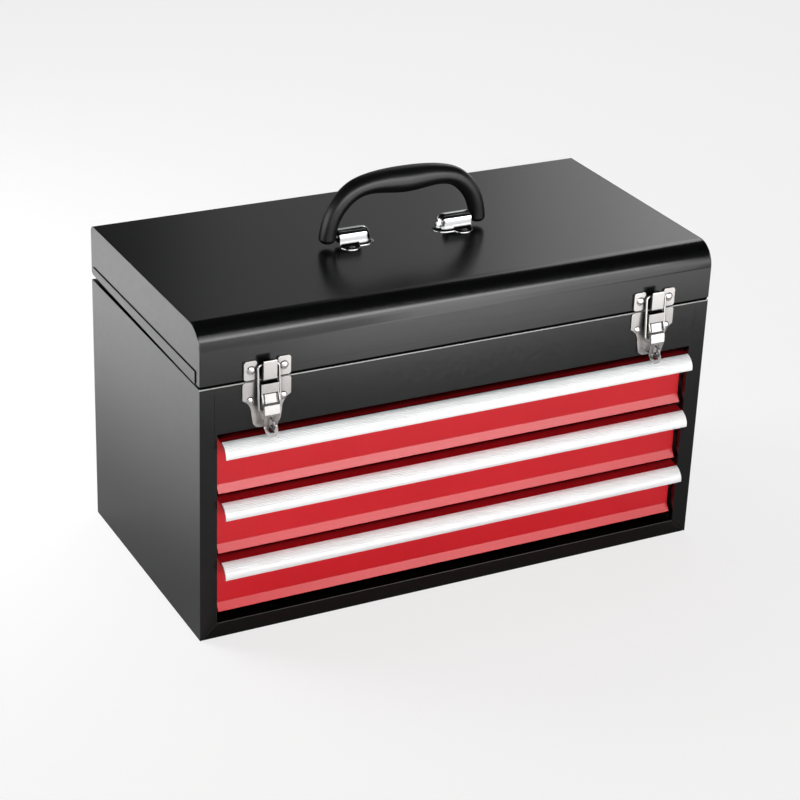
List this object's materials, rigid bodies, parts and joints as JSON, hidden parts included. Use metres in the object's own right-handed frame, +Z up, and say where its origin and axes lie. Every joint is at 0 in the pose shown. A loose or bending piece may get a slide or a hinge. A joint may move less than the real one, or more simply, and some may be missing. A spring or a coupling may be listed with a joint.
{
  "type": "portable tool box with drawers",
  "caption": "Black sheet-steel tool box with a hinged lid, a swinging carry handle, draw latches and red drawers on ball slides with full-width bright pulls.",
  "frame": {"origin": "centre of the flat underside that the box stands on", "axes": "+X to the viewer's right along the box's width, +Y from the front to the rear, +Z up; the drawers and latches face -Y"},
  "size_m": [0.522, 0.2903, 0.3738],
  "materials": {
    "case_black": "satin",
    "drawer_red": "satin",
    "pull_aluminium": "bright ribbed",
    "slide_zinc": "zinc plated",
    "ball_steel": "polished",
    "latch_nickel": "nickel plated",
    "rivet_nickel": "nickel plated",
    "hinge_steel": "zinc plated",
    "bracket_chrome": "polished",
    "grip_plastic": "fine texture",
    "pin_steel": "turned"
  },
  "bodies": {
    "case": {"side_panel_left": "case_black", "side_panel_right": "case_black", "back_panel": "case_black", "bottom_panel": "case_black", "front_rail": "case_black", "front_upper_panel": "case_black", "compartment_floor": "case_black", "slide_posts_left": "slide_zinc", "slide_posts_right": "slide_zinc", "slide_rails_left": "slide_zinc", "slide_rails_right": "slide_zinc", "rail_rivets": "slide_zinc", "hinge_leaf_case": "hinge_steel", "hinge_pin": "hinge_steel", "hinge_rivets_case": "hinge_steel", "latch_base_left": "latch_nickel", "latch_base_right": "latch_nickel", "padlock_staple_left": "latch_nickel", "padlock_staple_right": "latch_nickel", "latch_pivot_pins": "latch_nickel", "latch_base_rivets": "rivet_nickel"},
    "lid": {"lid_shell": "case_black", "lid_end_left": "case_black", "lid_end_right": "case_black", "hinge_leaf_lid": "hinge_steel", "hinge_rivets_lid": "hinge_steel", "latch_keeper_left": "latch_nickel", "latch_keeper_right": "latch_nickel", "latch_keeper_rivets": "rivet_nickel", "handle_bracket_left": "bracket_chrome", "handle_bracket_right": "bracket_chrome", "handle_backing_plate": "hinge_steel", "handle_bracket_rivets": "rivet_nickel"},
    "handle": {"handle_grip": "grip_plastic", "handle_pin_left": "pin_steel", "handle_pin_right": "pin_steel"},
    "drawer_1": {"drawer_front_1": "drawer_red", "drawer_pull_1": "pull_aluminium", "drawer_tray_1": "drawer_red", "drawer_rails_1": "slide_zinc"},
    "cages_1": {"ball_cages_1": "slide_zinc", "slide_balls_1": "ball_steel"},
    "drawer_2": {"drawer_front_2": "drawer_red", "drawer_pull_2": "pull_aluminium", "drawer_tray_2": "drawer_red", "drawer_rails_2": "slide_zinc"},
    "cages_2": {"ball_cages_2": "slide_zinc", "slide_balls_2": "ball_steel"},
    "drawer_3": {"drawer_front_3": "drawer_red", "drawer_pull_3": "pull_aluminium", "drawer_tray_3": "drawer_red", "drawer_rails_3": "slide_zinc"},
    "cages_3": {"ball_cages_3": "slide_zinc", "slide_balls_3": "ball_steel"},
    "lever_left": {"latch_lever_left": "latch_nickel"},
    "bail_left": {"latch_bail_left": "latch_nickel"},
    "lever_right": {"latch_lever_right": "latch_nickel"},
    "bail_right": {"latch_bail_right": "latch_nickel"}
  },
  "joints": [
    {"name": "lid_hinge", "type": "hinge", "parent": "case", "child": "lid", "pos_m": [0, 0.136, 0.2542], "axis": [-1, 0, 0], "range_deg": [0, 100]},
    {"name": "handle_swing", "type": "hinge", "parent": "lid", "child": "handle", "pos_m": [0, 0, 0.3136], "axis": [1, 0, 0], "range_deg": [-82, 82]},
    {"name": "drawer_1_slide", "type": "slide", "parent": "case", "child": "drawer_1", "axis": [0, -1, 0], "range_m": [0, 0.16]},
    {"name": "drawer_2_slide", "type": "slide", "parent": "case", "child": "drawer_2", "axis": [0, -1, 0], "range_m": [0, 0.16]},
    {"name": "drawer_3_slide", "type": "slide", "parent": "case", "child": "drawer_3", "axis": [0, -1, 0], "range_m": [0, 0.16]},
    {"name": "cages_1_slide", "type": "slide", "parent": "case", "child": "cages_1", "axis": [0, -1, 0], "range_m": [0, 0.08]},
    {"name": "cages_2_slide", "type": "slide", "parent": "case", "child": "cages_2", "axis": [0, -1, 0], "range_m": [0, 0.08]},
    {"name": "cages_3_slide", "type": "slide", "parent": "case", "child": "cages_3", "axis": [0, -1, 0], "range_m": [0, 0.08]},
    {"name": "lever_left_pivot", "type": "hinge", "parent": "case", "child": "lever_left", "pos_m": [-0.1975, -0.14, 0.2335], "axis": [-1, 0, 0], "range_deg": [0, 108]},
    {"name": "lever_right_pivot", "type": "hinge", "parent": "case", "child": "lever_right", "pos_m": [0.1975, -0.14, 0.2335], "axis": [-1, 0, 0], "range_deg": [0, 108]},
    {"name": "bail_left_pivot", "type": "hinge", "parent": "lever_left", "child": "bail_left", "pos_m": [-0.1975, -0.1397, 0.2244], "axis": [-1, 0, 0], "range_deg": [-93.1, 0]},
    {"name": "bail_right_pivot", "type": "hinge", "parent": "lever_right", "child": "bail_right", "pos_m": [0.1975, -0.1397, 0.2244], "axis": [-1, 0, 0], "range_deg": [-93.1, 0]}
  ],
  "couplings": [
    {"joint": "cages_1_slide", "follows": "drawer_1_slide", "ratio": 0.5},
    {"joint": "cages_2_slide", "follows": "drawer_2_slide", "ratio": 0.5},
    {"joint": "cages_3_slide", "follows": "drawer_3_slide", "ratio": 0.5},
    {"joint": "bail_left_pivot", "follows": "lever_left_pivot", "ratio": -0.86},
    {"joint": "bail_right_pivot", "follows": "lever_right_pivot", "ratio": -0.86}
  ]
}
